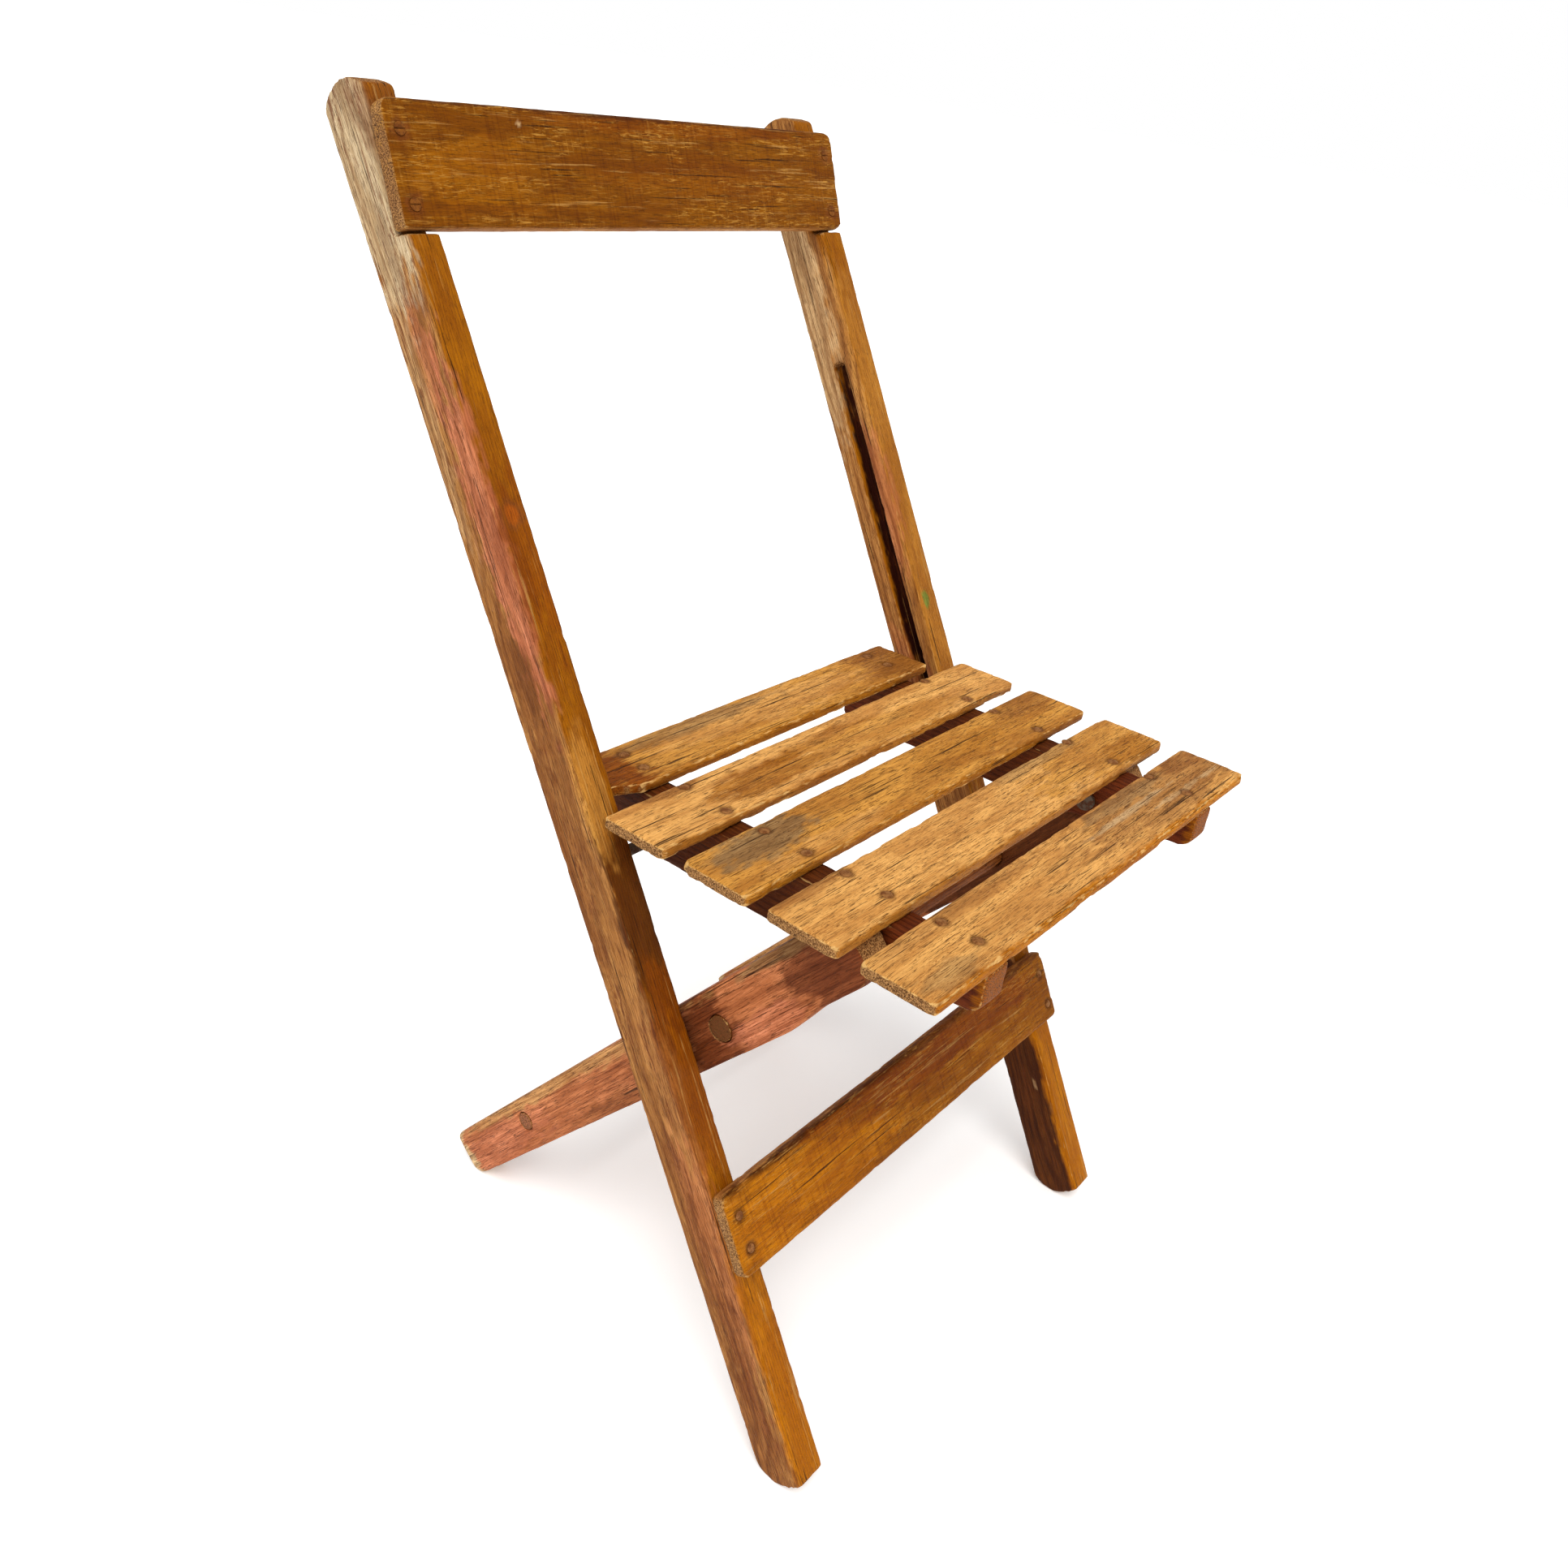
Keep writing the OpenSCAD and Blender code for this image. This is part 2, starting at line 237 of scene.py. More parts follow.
def worn_shape(points, normals, links, seed, chips, chipped):
    """The points after years of use, and how strongly each one lies on a worn arris."""
    low = points.min(axis=0)
    places = points - low
    soft = smoothed(points, links, SOFT_ROUNDS)
    broken_away = smoothed(soft, links, BROKEN_ROUNDS)
    arris = np.clip(-((soft - points) * normals).sum(axis=1) / ARRIS_PULL, 0, 1)
    spread = smoothed(arris[:, None] * np.ones(3), links, NEAR_ROUNDS)[:, 0]
    near_arris = np.clip(spread * NEAR_GAIN, 0, 1)

    wander = layered(places, (45, 130, 130), seed)
    broken = smoothstep(0.58, 0.74, layered(places, (70, 160, 160), seed + 3)) * chips
    for centre, size in chipped:
        broken = np.maximum(broken, patch(places, centre, size) * (0.55 + 0.6 * wander))
    broken = np.clip(broken, 0, 1)
    points = points + (soft - points) * np.clip(ROUNDING * (0.5 + wander), 0, 1)[:, None]
    points = points + (broken_away - soft) * (broken * near_arris)[:, None]

    hollow = DENT * layered(places, (30, 110, 110), seed + 5)
    hollow += FINE_DENT * lattice(places, (60, 520, 520), seed + 6)
    hollow += ARRIS_DENT * near_arris * lattice(places, (170, 320, 320), seed + 8)
    points = points - normals * hollow[:, None]
    return np.clip(points, low, low + places.max(axis=0)), np.maximum(arris, near_arris * broken)


def coated(normals, coat, ragged=0.0):
    """How fully the coat covers each point: the face that points its way, up to a ragged edge."""
    return smoothstep(0.3, 0.75, normals @ np.array(coat[0]) + 0.5 * ragged)


def painted(places, normals, base, coat, marks, seed):
    """The broad colour of each point: its base, the coat on one face, then the listed marks."""
    color = np.tile(base, (len(places), 1))
    ragged = layered(places, (90, 330, 330), seed + 21) - 0.5
    drift = layered(places, (14, 70, 70), seed + 22) - 0.5
    layers = []
    if coat:
        layers.append((coated(normals, coat, ragged), coat[1]))
    for mark_color, place, size, strength in marks:
        near = patch(places, place, size)
        covered = smoothstep(0.2, 0.55, near + near ** 0.25 * (1.1 * ragged + 0.7 * drift))
        layers.append((strength * covered, mark_color))
    for weight, target in layers:
        color += (np.array(target) - color) * weight[:, None]
    return color


def nail_stain(points, places, normals, heads, seed):
    """How strongly rust has stained each point of the outer face, round the given nail heads."""
    nearest = np.full(len(points), 1.0)
    for head in heads:
        nearest = np.minimum(nearest, np.hypot(points[:, 0] - head[0], points[:, 1] - head[1]))
    ragged = STAIN_RAGGED * (layered(places, (300, 300, 300), seed) - 0.5)
    faces_out = normals[:, 2] > 0.5
    return STAIN_STRENGTH * smoothstep(STAIN_REACH, STAIN_FULL, nearest + ragged) * faces_out


def timber(node, along, across, material, seed, base, coat=None, marks=(), chips=0.5, chipped=(), nails=None):
    """One worn wooden piece in place of its CAD node, stained round the heads of its nails."""
    through = along.cross(across)
    axes = Matrix((along, through.cross(along), through)).to_4x4()
    mesh = fine_copy(node, axes)
    sound = read(mesh.vertices, "co", 3).astype(float)
    normals = read(mesh.vertex_normals, "vector", 3).astype(float)
    links = read(mesh.edges, "vertices", 2)
    places = sound - sound.min(axis=0)
    points, edge = worn_shape(sound, normals, links, seed, chips, chipped)
    color = painted(places, normals, base, coat, marks, seed)
    if nails:
        heads = [axes @ Vector(head) for head in nail_heads(nails, through)]
        stain = nail_stain(points, places, normals, heads, seed)
        color += (np.array(NAIL_STAIN) - color) * stain[:, None]

    mesh.vertices.foreach_set("co", points.astype(np.float32).ravel())
    store(mesh, "grain", places)
    store(mesh, "edge", edge)
    store(mesh, "ends", smoothstep(0.55, 0.85, np.abs(normals[:, 0])))
    store(mesh, "coat", coated(normals, coat) if coat else np.zeros(len(points)))
    store(mesh, "tint", color)
    mesh.transform(axes.inverted())
    shade_smooth(mesh)
    mesh.materials.clear()
    mesh.materials.append(material)
    take_place(show(node + "_timber", mesh), node)


# ---- materials ----

class Graph:
    """A short way to write a node material."""

    def __init__(self, name):
        self.material = bpy.data.materials.new(name)
        self.material.use_nodes = True
        self.tree = self.material.node_tree
        self.tree.nodes.clear()

    def node(self, kind, inputs=(), **settings):
        made = self.tree.nodes.new("ShaderNode" + kind)
        for key, value in settings.items():
            setattr(made, key, value)
        for key, value in dict(inputs).items():
            if isinstance(value, bpy.types.NodeSocket):
                self.tree.links.new(value, made.inputs[key])
            else:
                made.inputs[key].default_value = value
        return made

    def read(self, name, output="Fac"):
        return self.node("Attribute", attribute_name=name).outputs[output]

    def stretched(self, vector, scale, shift=(0, 0, 0)):
        return self.node("Mapping", {0: vector, "Scale": scale, "Location": shift}).outputs[0]

    def noise(self, vector, scale, detail=3, rough=0.55, twist=0.0, shift=(0, 0, 0)):
        inputs = {"Vector": self.stretched(vector, scale, shift), "Scale": 1.0, "Detail": detail,
                  "Roughness": rough, "Distortion": twist}
        return self.node("TexNoise", inputs).outputs[0]

    def step(self, value, low, high, out=(0.0, 1.0)):
        """A smooth step from out[0] at low to out[1] at high."""
        inputs = {0: value, 1: low, 2: high, 3: out[0], 4: out[1]}
        return self.node("MapRange", inputs, interpolation_type="SMOOTHSTEP").outputs[0]

    def maths(self, operation, first, second=0.0, third=0.0):
        return self.node("Math", {0: first, 1: second, 2: third}, operation=operation).outputs[0]

    def times(self, *values):
        product_so_far = values[0]
        for value in values[1:]:
            product_so_far = self.maths("MULTIPLY", product_so_far, value)
        return product_so_far

    def plus_scaled(self, base, value, scale):
        """base + value * scale"""
        return self.maths("MULTIPLY_ADD", value, scale, base)

    def mix(self, factor, first, second, blend="MIX"):
        inputs = {0: factor, 6: first, 7: second}
        return self.node("Mix", inputs, data_type="RGBA", blend_type=blend).outputs[2]

    def multiply(self, factor, first, second):
        return self.mix(factor, first, second, "MULTIPLY")

    def bump(self, height, distance, strength=1.0, normal=None):
        inputs = {"Height": height, "Distance": distance, "Strength": strength}
        if normal is not None:
            inputs["Normal"] = normal
        return self.node("Bump", inputs).outputs[0]

    def finish(self, color, roughness, normal, **constants):
        inputs = {"Base Color": color, "Roughness": roughness, "Normal": normal, **constants}
        shader = self.node("BsdfPrincipled", inputs)
        output = self.node("OutputMaterial")
        self.tree.links.new(shader.outputs[0], output.inputs[0])
        return self.material


# Tints that multiply the colour under them
DEEPER = (0.66, 0.54, 0.42, 1.0)     # old finish
DARKER = (0.46, 0.33, 0.24, 1.0)     # late wood and the dirt in the grain
LIGHTER = (1.34, 1.44, 1.62, 1.0)    # dry, raised fibres

# Colours that cover the one under them
BARE_WOOD = opaque(190, 140, 74)     # where the coat has flaked along the grain
END_PORES = opaque(98, 62, 30)
PORE_DIRT = opaque(70, 32, 6)
SPLIT_WOOD = opaque(104, 50, 18)
CRACK_DIRT = opaque(46, 20, 4)
RUBBED_ARRIS = opaque(226, 178, 108)
SCRATCH = opaque(196, 140, 58)

# Sizes of the wood's patterns, in cells per metre along, across and through the grain
PATCHES = (12, 60, 60)
ZONES = (17, 80, 80)
MOTTLE = (60, 380, 380)
FIBRES = (34, 1300, 1300)
FLECKS = (300, 900, 900)
SPECKS = (620, 1150, 1150)
PORES = (110, 1900, 1900)
RING_BENDS = (5, 22, 22)
CRACKS = (10, 520, 520)
SPLITS = (26, 330, 330)
FLAKES = (9, 260, 260)
BITES = (110, 420, 420)
SAW_MARKS = (560, 16, 16)
SCRATCHES = (70, 700, 700)

GLOSS = 0.5                # roughness of the smoothest finish
DULL = 0.85                # roughness of rubbed, bare wood
WOOD_SPECULAR = 0.07
RING_BEND = 0.014          # how far the growth rings wander, in metres
RING_STRETCH = 0.035       # how slowly the growth rings change along the grain


class Wood(Graph):
    """Aged timber under a worn finish, over the broad colour that is painted on the piece."""

    def __init__(self, name, seed, ring, pith):
        super().__init__(name)
        raw = self.read("grain", "Vector")
        shift = (seed * 0.37, seed * 0.11, seed * 0.19)
        place = self.node("VectorMath", {0: raw, 1: shift}, operation="ADD").outputs[0]
        self.place = place
        self.tint = self.read("tint", "Vector")
        self.edge = self.read("edge")
        self.ends = self.read("ends")
        self.coat = self.read("coat")
        self.uncoated = self.plus_scaled(1.0, self.coat, -0.6)
        self.broad = self.noise(place, PATCHES, detail=4, rough=0.6, twist=0.3)
        zones = self.noise(place, ZONES, detail=4, rough=0.6, shift=(3, 5, 7))
        self.zone = self.step(zones, 0.44, 0.58, (0.25, 1.0))
        self.mottle = self.noise(place, MOTTLE, detail=6, rough=0.72)
        self.fibre = self.noise(place, FIBRES, detail=3, rough=0.6)
        self.fleck = self.noise(place, FLECKS, detail=5, rough=0.78)
        self.speck = self.noise(place, SPECKS, detail=2, rough=0.6)
        self.pores = self.step(self.noise(place, PORES, detail=2, rough=0.6), 0.58, 0.64)
        self.late = self.late_wood(raw, ring, pith)
        cracks = self.step(self.noise(place, CRACKS, detail=2, rough=0.5), 0.65, 0.69)
        self.cracks = self.times(cracks, self.step(self.broad, 0.40, 0.54))

    def late_wood(self, raw, ring, pith):
        """The dark half of each growth ring, round a pith at that place across and through."""
        bends = {"Vector": self.stretched(self.place, RING_BENDS), "Scale": 1.0, "Detail": 2.0}
        bend = self.node("TexNoise", bends).outputs[1]
        reach = (0.0, RING_BEND, RING_BEND)
        bent = self.node("VectorMath", {0: bend, 1: reach, 2: raw}, operation="MULTIPLY_ADD").outputs[0]
        centred = self.stretched(bent, (RING_STRETCH, 1, 1), (0, -pith[0] * MM, -pith[1] * MM))
        radius = self.node("VectorMath", {0: centred}, operation="LENGTH").outputs["Value"]
        waves = self.maths("SINE", self.maths("MULTIPLY", radius, 2 * math.pi / (ring * MM)))
        return self.step(self.plus_scaled(waves, self.maths("SUBTRACT", self.fibre, 0.5), 2.2), 0.0, 1.0)

    def grained(self, lines, raised):
        """The painted colour with its mottling, growth rings and fibres."""
        open_grain = self.plus_scaled(raised, self.coat, -0.6 * raised)
        sunk_fibre = self.times(self.step(self.fibre, 0.48, 0.36, (0.0, 0.75)), open_grain)
        raised_fibre = self.times(self.step(self.fibre, 0.53, 0.65, (0.0, 0.75)), open_grain)
        color = self.multiply(self.step(self.broad, 0.60, 0.38, (0.0, 0.7)), self.tint, DEEPER)
        color = self.multiply(self.step(self.mottle, 0.47, 0.36, (0.0, 0.3)), color, DEEPER)
        color = self.multiply(self.step(self.mottle, 0.54, 0.64, (0.0, 0.3)), color, LIGHTER)
        color = self.multiply(self.times(self.late, open_grain, lines), color, DARKER)
        color = self.multiply(sunk_fibre, color, DARKER)
        return self.multiply(raised_fibre, color, LIGHTER)

    def bared(self, color, end):
        """The coat flaked along the grain, and the bare end grain."""
        flakes = self.noise(self.place, FLAKES, detail=4, rough=0.7, shift=(1, 2, 3))
        color = self.mix(self.times(self.step(flakes, 0.58, 0.66, (0.0, 0.6)), self.coat), color, BARE_WOOD)
        end_grain = self.mix(self.step(self.speck, 0.40, 0.60), END_PORES, opaque(*end))
        return self.mix(self.ends, color, end_grain)

    def flecked(self, color, grit, torn):
        """Flecks, pores, torn splits and long cracks."""
        color = self.multiply(self.times(self.step(self.fleck, 0.56, 0.66), self.zone, grit), color, LIGHTER)
        color = self.multiply(self.times(self.step(self.fleck, 0.45, 0.35), self.zone, grit), color, DARKER)
        pore_depth = self.step(self.broad, 0.35, 0.6, (0.3, 0.8))
        color = self.mix(self.times(self.pores, self.uncoated, pore_depth), color, PORE_DIRT)
        if torn:
            splits = self.noise(self.place, SPLITS, detail=5, rough=0.68, twist=1.1, shift=(2, 9, 4))
            where = self.step(self.broad, 0.42, 0.56)
            split = self.times(self.step(splits, 0.53, 0.59), self.uncoated, where, torn)
            color = self.mix(split, color, SPLIT_WOOD)
        return self.mix(self.times(self.cracks, 0.85), color, CRACK_DIRT)

    def rubbed(self, wear):
        """How bare the arrises are."""
        bites = self.maths("SUBTRACT", self.noise(self.place, BITES, detail=4), 0.5)
        bitten = self.plus_scaled(self.edge, bites, 1.5)
        return self.times(self.step(bitten, 0.75 - 0.4 * wear, 1.1 - 0.4 * wear), wear)

    def scratched(self, color, scratches):
        """Saw marks across the grain and short scratches along it."""
        sawn = self.noise(self.place, SAW_MARKS, detail=3, rough=0.6)
        color = self.multiply(self.step(sawn, 0.50, 0.36, (0.0, 0.5)), color, DEEPER)
        across = self.step(sawn, 0.58, 0.68, (0.0, 0.35))
        short = self.noise(self.place, SCRATCHES, detail=3, rough=0.6, twist=1.5)
        scuffed = self.maths("MAXIMUM", across, self.step(short, 0.54, 0.62))
        where = self.step(self.broad, 0.40, 0.55)
        return self.mix(self.times(scuffed, self.zone, where, scratches), color, SCRATCH)

    def surface(self, color, rubbed):
        """The finished material: dull where it is rubbed, with its grain and cracks in relief."""
        dull = self.maths("MAXIMUM", rubbed, self.step(self.speck, 0.5, 0.7, (0.0, 0.5)))
        sheen = self.step(self.mottle, 0.2, 0.8, (GLOSS, GLOSS + 0.16))
        roughness = self.plus_scaled(sheen, dull, DULL - GLOSS)
        relief = self.plus_scaled(self.plus_scaled(self.fibre, self.pores, -0.7), self.late, 0.45)
        normal = self.bump(relief, 0.35 * MM, 0.9)
        normal = self.bump(self.plus_scaled(self.mottle, self.cracks, -1.6), 0.5 * MM, 0.8, normal)
        return self.finish(color, roughness, normal, **{"Specular IOR Level": WOOD_SPECULAR})


def wood(name, seed, ring=3.4, pith=(-22, -60), lines=0.5, scratches=0.0, wear=0.5, grit=0.6, raised=1.0,
         torn=0.0, end=(186, 136, 82)):
    """One timber's material. The ring width and the pith's place are in millimetres, and end is the end
    grain's display colour. The strength of the ring lines, scratches, wear, grit, raised fibres and torn
    splits goes from 0 to 1."""
    graph = Wood(name, seed, ring, pith)
    color = graph.grained(lines, raised)
    color = graph.bared(color, end)
    color = graph.flecked(color, grit, torn)
    rubbed = graph.rubbed(wear)
    color = graph.mix(rubbed, color, RUBBED_ARRIS)
    if scratches:
        color = graph.scratched(color, scratches)
    return graph.surface(color, rubbed)


def rusty(name, body, crust, shine, metal):
    """Old steel with brown rust creeping over it."""
    graph = Graph(name)
    where = graph.node("TexCoord").outputs["Object"]
    cover = graph.noise(where, (260, 260, 260), detail=5, rough=0.65)
    grit = graph.noise(where, (1500, 1500, 1500), detail=3, rough=0.6)
    amount = graph.step(cover, 0.4, 0.62)
    color = graph.mix(amount, opaque(*body), opaque(*crust))
    color = graph.mix(graph.times(graph.step(grit, 0.5, 0.66), 0.5), color, opaque(60, 34, 20))
    roughness = graph.plus_scaled(shine, amount, 0.9 - shine)
    clean = graph.step(amount, 0.0, 1.0, (metal, 0.0))
    relief = graph.bump(graph.maths("ADD", cover, grit), 0.2 * MM, 0.8)
    return graph.finish(color, roughness, relief, Metallic=clean, **{"Specular IOR Level": 0.2})


# ---- the timber pieces ----

def leaning(angle):
    """Directions up and back along a member that leans back by angle."""
    return Vector((0, math.sin(angle), math.cos(angle))), Vector((0, math.cos(angle), -math.sin(angle)))


STILE_UP, STILE_BACK = leaning(math.radians(30.665))
BOARD_UP = leaning(math.radians(20.695))[0]
LEG_UP, LEG_BACK = leaning(-math.radians(38.655))
SEAT_UP, SEAT_BACK = leaning(math.radians(1.735))
WIDTHWAYS = Vector((1, 0, 0))
FRONT_EDGE = (0, -1, 0)    # the side of a timber that faces back along its across axis
OUTER_FACE = (0, 0, 1)     # the side of a timber that its through axis points out of

# Finishes and stains
AMBER = linear(160, 94, 2)
OLIVE_AMBER = linear(135, 77, 0)
DEEP_AMBER = linear(142, 70, 1)
BRIGHT_AMBER = linear(192, 116, 3)
HONEY = linear(206, 144, 62)
TAN = linear(226, 166, 90)
BEIGE = linear(178, 123, 64)
PALE = linear(212, 178, 130)
SILVER = linear(206, 186, 148)
CREAM = linear(199, 148, 88)
SALMON = linear(206, 124, 88)
BROWN = linear(132, 74, 28)
DARK_BROWN = linear(84, 42, 8)
GREY_BROWN = linear(150, 116, 74)
TERRACOTTA = linear(196, 120, 74)
# Painted shade: dark maroon for shade beneath the seat and where the stile crosses a rear leg
SHADE_MAROON = linear(104, 46, 16)
# Painted shade: near black laid inside the stiles' grooves
GROOVE_SHADE = linear(50, 14, 4)
KNOT = linear(182, 92, 12)
GREEN = linear(116, 142, 56)
NAIL_STAIN = linear(92, 50, 16)


def stiles():
    """Along is up the stile, across is from front to back, through is towards the chair's left."""
    left_marks = [
        (BROWN, (20, 30, 25), (70, 30, 9), 0.6), (TERRACOTTA, (210, 14, 25), (150, 14, 9), 0.6),
        (BEIGE, (330, 20, 25), (70, 30, 9), 0.8), (BROWN, (470, 34, 25), (90, 14, 9), 0.6),
        (BROWN, (590, 24, 25), (60, 20, 9), 0.55), (SALMON, (700, 9, 25), (110, 14, 7), 0.8),
        (SALMON, (790, 18, 25), (50, 10, 7), 0.5), (BROWN, (180, 26, 25), (130, 9, 7), 0.6),
        (BROWN, (90, 18, 25), (80, 9, 7), 0.6), (SILVER, (900, 24, 25), (80, 40, 5), 0.8),
        (PALE, (800, 34, 25), (120, 9, 5), 0.35), (BRIGHT_AMBER, (60, 0, 12), (110, 6, 26), 0.8),
        # The dark brown mark at 420 paints the seat's shadow on the front face below the seat.
        (DARK_BROWN, (420, 0, 12), (70, 6, 30), 0.85), (DEEP_AMBER, (320, 0, 12), (70, 6, 30), 0.6),
        (HONEY, (510, 0, 18), (40, 6, 10), 0.6), (DEEP_AMBER, (660, 0, 8), (60, 6, 16), 0.7),
        (BROWN, (930, 4, 12), (26, 16, 20), 0.5), (BROWN, (690, 0, 12), (11, 4, 9), 0.6),
        # The last mark on the next line paints shade inside the groove.
        (KNOT, (690, 0, 12), (7, 4, 5), 0.8), (GROOVE_SHADE, (606, 20, 9), (210, 8, 6.5), 1.0)]
    right_marks = [
        # Painted light: the bright amber mark at 70 lifts the front of the foot out of the shadow that the
        # seat and stretcher cast on it.
        (DARK_BROWN, (80, 24, 25), (190, 36, 12), 1.0), (BRIGHT_AMBER, (70, 0, 12), (130, 8, 30), 0.9),
        (HONEY, (620, 0, 12), (210, 8, 40), 0.45), (TERRACOTTA, (470, 30, 25), (50, 20, 10), 0.7),
        (SALMON, (640, 10, 25), (60, 10, 9), 0.5), (PALE, (810, 34, 25), (110, 18, 9), 0.8),
        (AMBER, (880, 0, 12), (40, 8, 30), 0.9), (PALE, (110, 14, 25), (6, 1.6, 4), 0.5),
        # The last mark on the next line paints shade inside the groove.
        (GREEN, (556, 1, 17), (8, 4, 4), 0.9), (GROOVE_SHADE, (606, 20, 16.3), (210, 8, 6.5), 1.0)]
    left_wood = wood("left_stile_wood", 1, ring=2.0, pith=(18, -70), lines=0.5, wear=0.4, torn=0.75)
    timber("left_stile", STILE_UP, STILE_BACK, left_wood, 1, BEIGE, (FRONT_EDGE, AMBER), left_marks)
    right_wood = wood("right_stile_wood", 2, ring=2.0, pith=(10, -50), lines=0.6, wear=0.4, torn=0.4)
    timber("right_stile", STILE_UP, STILE_BACK, right_wood, 2, BEIGE, (FRONT_EDGE, AMBER), right_marks)


def backrest_board():
    """Along is the chair's width, across is up the board, through is towards the front."""
    marks = [
        (DEEP_AMBER, (250, 68, 12), (150, 8, 8), 0.4), (DEEP_AMBER, (280, 34, 12), (90, 14, 8), 0.2),
        (BRIGHT_AMBER, (60, 30, 12), (50, 22, 8), 0.25),
        (DARK_BROWN, (210, 72, 12), (190, 2.4, 6), 0.8), (PALE, (100, 62, 13), (2.4, 1.8, 3), 1.0)]
    for screw in product((10, 409), (13.7, 55)):
        marks.append((BROWN, (*screw, 12.8), (7, 7, 3), 0.7))
    material = wood("board_wood", 3, ring=5.0, pith=(30, -16), lines=0.3, scratches=0.7, grit=0.45,
                    raised=0.7)
    timber("backrest_board", WIDTHWAYS, BOARD_UP, material, 3, BEIGE, (OUTER_FACE, OLIVE_AMBER), marks)


def front_stretcher():
    """Along is the chair's width, across is up the stiles, through is towards the front."""
    marks = [
        (BRIGHT_AMBER, (60, 24, 11), (110, 30, 8), 0.85),
        (DEEP_AMBER, (280, 46, 11), (120, 16, 8), 0.85),
        (DARK_BROWN, (210, 61, 11), (190, 4, 6), 0.9), (BROWN, (330, 60, 4), (90, 5, 12), 0.8),
        (DEEP_AMBER, (150, 56, 11), (60, 7, 6), 0.6), (BROWN, (12, 18, 11.3), (5, 5, 3), 0.6)]
    material = wood("stretcher_wood", 4, ring=4.2, pith=(20, -30), lines=0.35, scratches=0.5, grit=0.7)
    timber("front_stretcher", WIDTHWAYS, STILE_UP, material, 4, BEIGE, (OUTER_FACE, AMBER), marks,
           nails="stretcher_nails")


# The slats from the rear, on the axes that seat_slats names: each one's base colour and marks
SLAT_LOOKS = [
    (HONEY, [
        # The deep amber mark at the left end paints the shade that falls there.
        (TAN, (180, 30, 9), (120, 18, 9), 0.7), (DEEP_AMBER, (10, 30, 9), (30, 40, 9), 0.9),
        (BROWN, (336, 30, 9), (36, 40, 9), 0.6), (GREY_BROWN, (110, 44, 9), (90, 9, 9), 0.6)]),
    (TAN, [
        (AMBER, (125, 24, 9), (52, 15, 9), 0.75), (AMBER, (190, 34, 9), (50, 10, 9), 0.6),
        (HONEY, (250, 18, 9), (90, 16, 9), 0.7), (BROWN, (60, 50, 9), (26, 7, 9), 0.5)]),
    (HONEY, [
        (GREY_BROWN, (56, 36, 9), (46, 18, 9), 0.9), (AMBER, (260, 24, 9), (60, 18, 9), 0.35),
        (AMBER, (330, 22, 9), (60, 16, 9), 0.3), (TAN, (90, 10, 9), (60, 8, 9), 0.6),
        (BROWN, (380, 40, 9), (36, 12, 9), 0.5)]),
    (TAN, [
        (HONEY, (350, 26, 9), (80, 30, 9), 0.85), (AMBER, (385, 12, 9), (40, 12, 9), 0.6),
        (GREY_BROWN, (300, 48, 9), (60, 6, 9), 0.5), (BROWN, (30, 50, 9), (36, 6, 9), 0.5)]),
    (TAN, [
        (BEIGE, (320, 30, 9), (110, 26, 9), 0.9), (GREY_BROWN, (300, 44, 9), (70, 7, 9), 0.6),
        (PALE, (280, 32, 9), (60, 2.6, 9), 0.7), (PALE, (340, 21, 9), (46, 2.4, 9), 0.7),
        (BROWN, (395, 44, 9), (40, 9, 9), 0.5), (BEIGE, (110, 46, 9), (90, 6, 9), 0.6),
        (BRIGHT_AMBER, (200, 0, 4), (230, 4, 9), 0.85), (GREY_BROWN, (30, 12, 9), (26, 8, 9), 0.5)]),
]


def seat_slats():
    """Along is the chair's width, across is from front to back, through is up."""
    front = (AMBER, (200, -1, 3), (300, 5, 6), 0.8)
    for number, (base, marks) in enumerate(SLAT_LOOKS, start=1):
        material = wood(f"slat_{number}_wood", 4 + number, ring=4.6, pith=(24, -26), lines=0.3, wear=0.9,
                        grit=1.0, raised=0.45)
        timber(f"seat_slat_{number}", WIDTHWAYS, SEAT_BACK, material, 4 + number, base, marks=[front] + marks,
               chips=0.75, nails="slat_nails")


def seat_bearer(side):
    """Along is from front to back, across is up, through is towards the chair's right."""
    # Painted shade: the maroon base and the dark brown middle stand for the shade beneath the seat; the amber
    # mark colours the front end.
    marks = [(DARK_BROWN, (200, 30, 12), (140, 30, 30), 0.7), (AMBER, (0, 34, 12), (8, 30, 30), 0.8)]
    material = wood(f"{side}_bearer_wood", 10, end=(176, 94, 20))
    timber(f"{side}_seat_bearer", SEAT_BACK, SEAT_UP, material, 10, SHADE_MAROON, marks=marks)


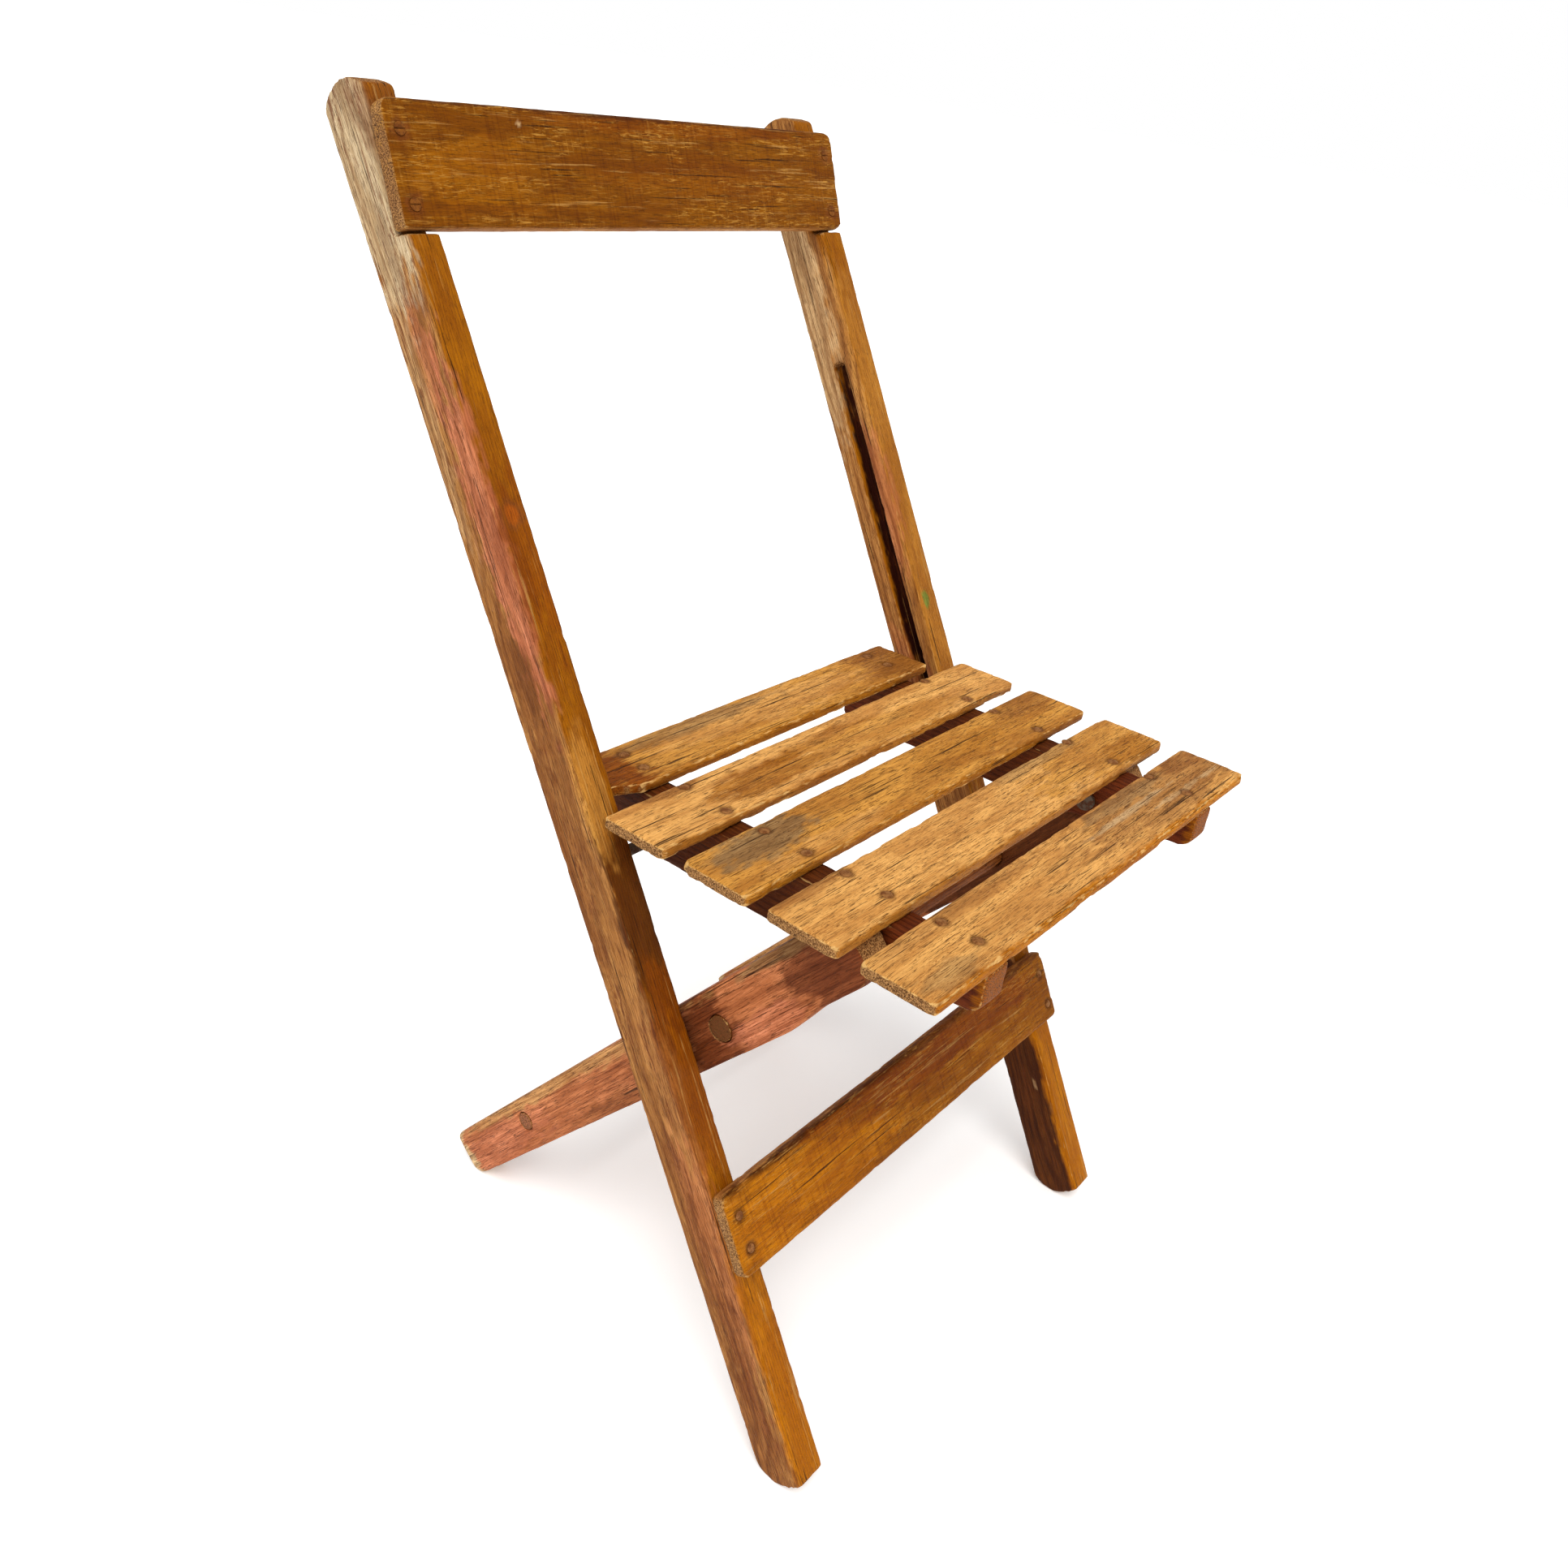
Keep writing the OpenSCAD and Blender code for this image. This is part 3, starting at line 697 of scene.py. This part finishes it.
def rear_leg(side):
    """Along is up the leg, across is towards its upper edge, through is towards the chair's left."""
    outer = 25 if side == "left" else 0
    marks = [
        # The two maroon marks paint shade: where the stile crosses the leg, and at its top beneath the seat.
        (SHADE_MAROON, (390, 16, outer), (30, 40, 12), 0.85), (SHADE_MAROON, (530, 30, outer), (50, 50, 30), 0.8),
        (SALMON, (60, 24, outer), (90, 22, 9), 0.6), (SALMON, (450, 10, outer), (40, 10, 9), 0.6),
        (CREAM, (170, 46, 12), (210, 7, 30), 0.8), (GREY_BROWN, (500, 46, 12), (60, 7, 30), 0.8),
        (BROWN, (250, 8, outer), (60, 10, 9), 0.5), (PALE, (3, 24, 12), (12, 40, 40), 1.0)]
    # Painted shade: the right leg's upper part is darkened where it lies beneath the seat.
    if side == "right":
        marks.append((DARK_BROWN, (430, 24, 12), (170, 60, 40), 0.9))
    frayed = [((0, 0, outer), (30, 20, 20)), ((0, 45, outer), (40, 14, 16))]
    material = wood(f"{side}_leg_wood", 11 if side == "left" else 12, lines=0.35, wear=0.25)
    timber(f"{side}_rear_leg", LEG_UP, LEG_BACK, material, 11, TERRACOTTA, marks=marks, chipped=frayed)


def leg_dowels():
    """Along is the chair's width."""
    for place, end in (("upper", (112, 64, 34)), ("lower", (172, 106, 72))):
        material = wood(f"{place}_dowel_wood", 13, end=end)
        timber(f"{place}_leg_dowel", WIDTHWAYS, LEG_BACK, material, 13, BROWN)


# ---- fasteners ----

NAIL_SIDES = 28
# Half of a domed head, from its middle outwards and under: share of the head's radius, height in mm
NAIL_PROFILE = [(0.0, 0.4), (0.35, 0.36), (0.68, 0.2), (0.92, -0.1), (1.0, -0.5), (0.97, -1.0), (0.4, -1.25)]
SHANK_RADIUS = 1.5 * MM


def nail_rings(number, head, length):
    """Rings of points down one hand-driven nail from its head's middle, dented and tilted its own way."""
    rings = [(radius * head, height * MM) for radius, height in NAIL_PROFILE]
    rings.append((SHANK_RADIUS, 1.0 * MM - length))
    angles = np.arange(NAIL_SIDES) * 2 * math.pi / NAIL_SIDES
    dents = 0.06 * np.sin(2 * angles + number) + 0.035 * np.sin(5 * angles + 2.3 * number)
    tilt = Vector((math.sin(3.1 * number), math.cos(1.7 * number), 0)) * 0.05
    for radius, height in rings:
        ring = []
        for angle, dent in zip(angles, dents):
            flat = Vector((math.cos(angle), math.sin(angle), 0)) * radius * (1 - abs(dent))
            ring.append(flat + Vector((0, 0, height + flat.dot(tilt))))
        yield ring


def worn_nails(node, out, head, length, material):
    """Hand-driven nails in place of a CAD node: domed, dented heads that face out."""
    turn = out.to_track_quat("Z", "Y").to_matrix()
    shape = bmesh.new()
    for number, top in enumerate(nail_heads(node, out)):
        rings = [[shape.verts.new(Vector(top) + turn @ point) for point in ring]
                 for ring in nail_rings(number, head, length)]
        for above, below in zip(rings, rings[1:]):
            for i in range(NAIL_SIDES):
                j = (i + 1) % NAIL_SIDES
                shape.faces.new((above[i], below[i], below[j], above[j]))
        shape.faces.new(rings[-1][::-1])
    bmesh.ops.remove_doubles(shape, verts=shape.verts, dist=WELD)
    bmesh.ops.recalc_face_normals(shape, faces=shape.faces)
    mesh = bpy.data.meshes.new(node + "_worn")
    shape.to_mesh(mesh)
    shape.free()
    shade_smooth(mesh)
    mesh.materials.append(material)
    take_place(show(node + "_worn", mesh), node)


def fasteners():
    """Nails with new heads, then screws, pins and washers with their CAD meshes."""
    nail_rust = rusty("nail_rust", (156, 104, 54), (112, 64, 26), shine=0.6, metal=0.25)
    stained_steel = rusty("stained_steel", (136, 78, 12), (104, 54, 8), shine=0.6, metal=0.1)
    pin_steel = rusty("pin_steel", (92, 80, 68), (74, 44, 26), shine=0.55, metal=0.4)
    worn_nails("slat_nails", SEAT_UP, 4 * MM, 28 * MM, nail_rust)
    worn_nails("stretcher_nails", WIDTHWAYS.cross(STILE_UP), 3.4 * MM, 34 * MM, nail_rust)
    for node, piece in frame["nodes"].items():
        is_screws = node == "backrest_screws"
        if is_screws or SLOT_OF[node] == "pin_steel":
            piece.data.materials.clear()
            piece.data.materials.append(stained_steel if is_screws else pin_steel)
            soften = piece.modifiers.new("soften", "BEVEL")
            soften.width = 0.35 * MM
            soften.segments = 2
            soften.limit_method = "ANGLE"


# ---- studio ----

FLOOR_SIZE = 80            # metres, so that its edge is far behind the chair
FLOOR_GLOW = 0.2           # keeps the shadows faint
SUN_STRENGTH = 2.35
SUN_WIDTH = math.radians(40)
SUN_COLOR = (1.0, 0.99, 0.97)
SUN_LOOKS = Vector((0.45, 0.3, -1))
SKY_STRENGTH = 0.6         # as light; the sky itself is seen at full white
CAMERA_AT = Vector((-0.7034, -0.5069, 0.8753))
CAMERA_LOOKS = Vector((0.7055, 0.5143, -0.4877))
CAMERA_RIGHT = Vector((0.6413, -0.7562, 0.1302))
CAMERA_LENS = 29.79        # millimetres, as is the film's width
CAMERA_FILM = 36
CAMERA_NEAR = 0.02         # metres


def floor():
    bpy.ops.mesh.primitive_plane_add(size=FLOOR_SIZE)
    plane = bpy.context.object
    plane.name = "floor"
    graph = Graph("pale_floor")
    where = graph.node("TexCoord").outputs["Object"]
    tint = graph.mix(graph.noise(where, (3, 3, 3), detail=3), opaque(248, 248, 248), opaque(252, 252, 252))
    grain = graph.bump(graph.noise(where, (400, 400, 400)), 0.1 * MM, 0.2)
    plane.data.materials.append(graph.finish(tint, 0.9, grain, **{"Emission Strength": FLOOR_GLOW}))


def sun():
    lamp = bpy.data.lights.new("overhead", "SUN")
    lamp.energy = SUN_STRENGTH
    lamp.angle = SUN_WIDTH
    lamp.color = SUN_COLOR
    holder = bpy.data.objects.new("overhead", lamp)
    holder.rotation_euler = SUN_LOOKS.to_track_quat("-Z", "Y").to_euler()
    bpy.context.scene.collection.objects.link(holder)


def sky():
    """Even white light, weaker as light than it looks."""
    world = bpy.data.worlds.new("studio")
    bpy.context.scene.world = world
    world.use_nodes = True
    tree = world.node_tree
    background = tree.nodes["Background"]
    background.inputs["Color"].default_value = (1, 1, 1, 1)
    seen = tree.nodes.new("ShaderNodeLightPath")
    strength = tree.nodes.new("ShaderNodeMapRange")
    strength.inputs["To Min"].default_value = SKY_STRENGTH
    tree.links.new(seen.outputs["Is Camera Ray"], strength.inputs["Value"])
    tree.links.new(strength.outputs[0], background.inputs["Strength"])


def camera():
    data = bpy.data.cameras.new("camera")
    data.lens = CAMERA_LENS
    data.sensor_width = CAMERA_FILM
    data.clip_start = CAMERA_NEAR
    eye = bpy.data.objects.new("camera", data)
    back = -CAMERA_LOOKS.normalized()
    right = (CAMERA_RIGHT - back * CAMERA_RIGHT.dot(back)).normalized()
    turn = Matrix((right, back.cross(right), back)).transposed().to_4x4()
    eye.matrix_world = Matrix.Translation(CAMERA_AT) @ turn
    bpy.context.scene.collection.objects.link(eye)
    bpy.context.scene.camera = eye


stiles()
backrest_board()
front_stretcher()
seat_slats()
for side in ("left", "right"):
    seat_bearer(side)
    rear_leg(side)
leg_dowels()
fasteners()
floor()
sun()
sky()
camera()
bpy.context.scene.view_settings.view_transform = "Standard"
